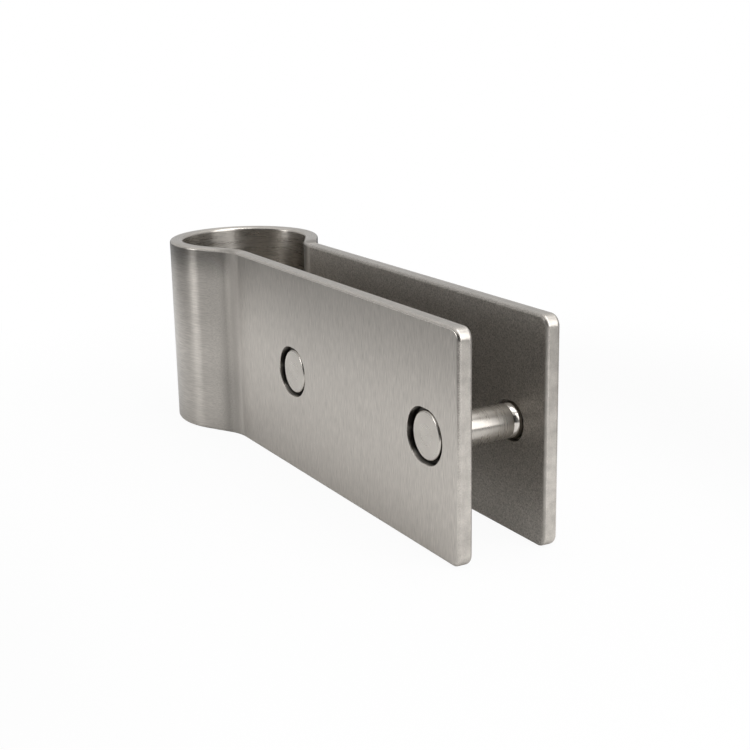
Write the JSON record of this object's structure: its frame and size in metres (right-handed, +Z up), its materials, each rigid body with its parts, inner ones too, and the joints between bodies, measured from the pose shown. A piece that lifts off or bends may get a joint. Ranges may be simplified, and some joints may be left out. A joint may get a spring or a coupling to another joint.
{
  "type": "shower screen bracket",
  "caption": "Bent steel strap that wraps round a vertical post and holds a glass shower panel between its parallel cheeks with sleeve fixings.",
  "frame": {"origin": "on the post's axis, in the middle of the ring's bore at half the strap's height", "axes": "+Z up along the post, +X towards the open end of the cheeks, +Y across the glass, towards the cheek that holds the screws"},
  "size_m": [0.1488, 0.0408, 0.05],
  "materials": {
    "brushed_steel": "satin",
    "turned_steel": "turned",
    "polished_steel": "polished"
  },
  "bodies": {
    "root": {"strap": "brushed_steel", "sleeve_nut_inner": "turned_steel", "sleeve_nut_outer": "turned_steel", "screw_inner": "polished_steel", "screw_outer": "polished_steel"}
  },
  "joints": []
}
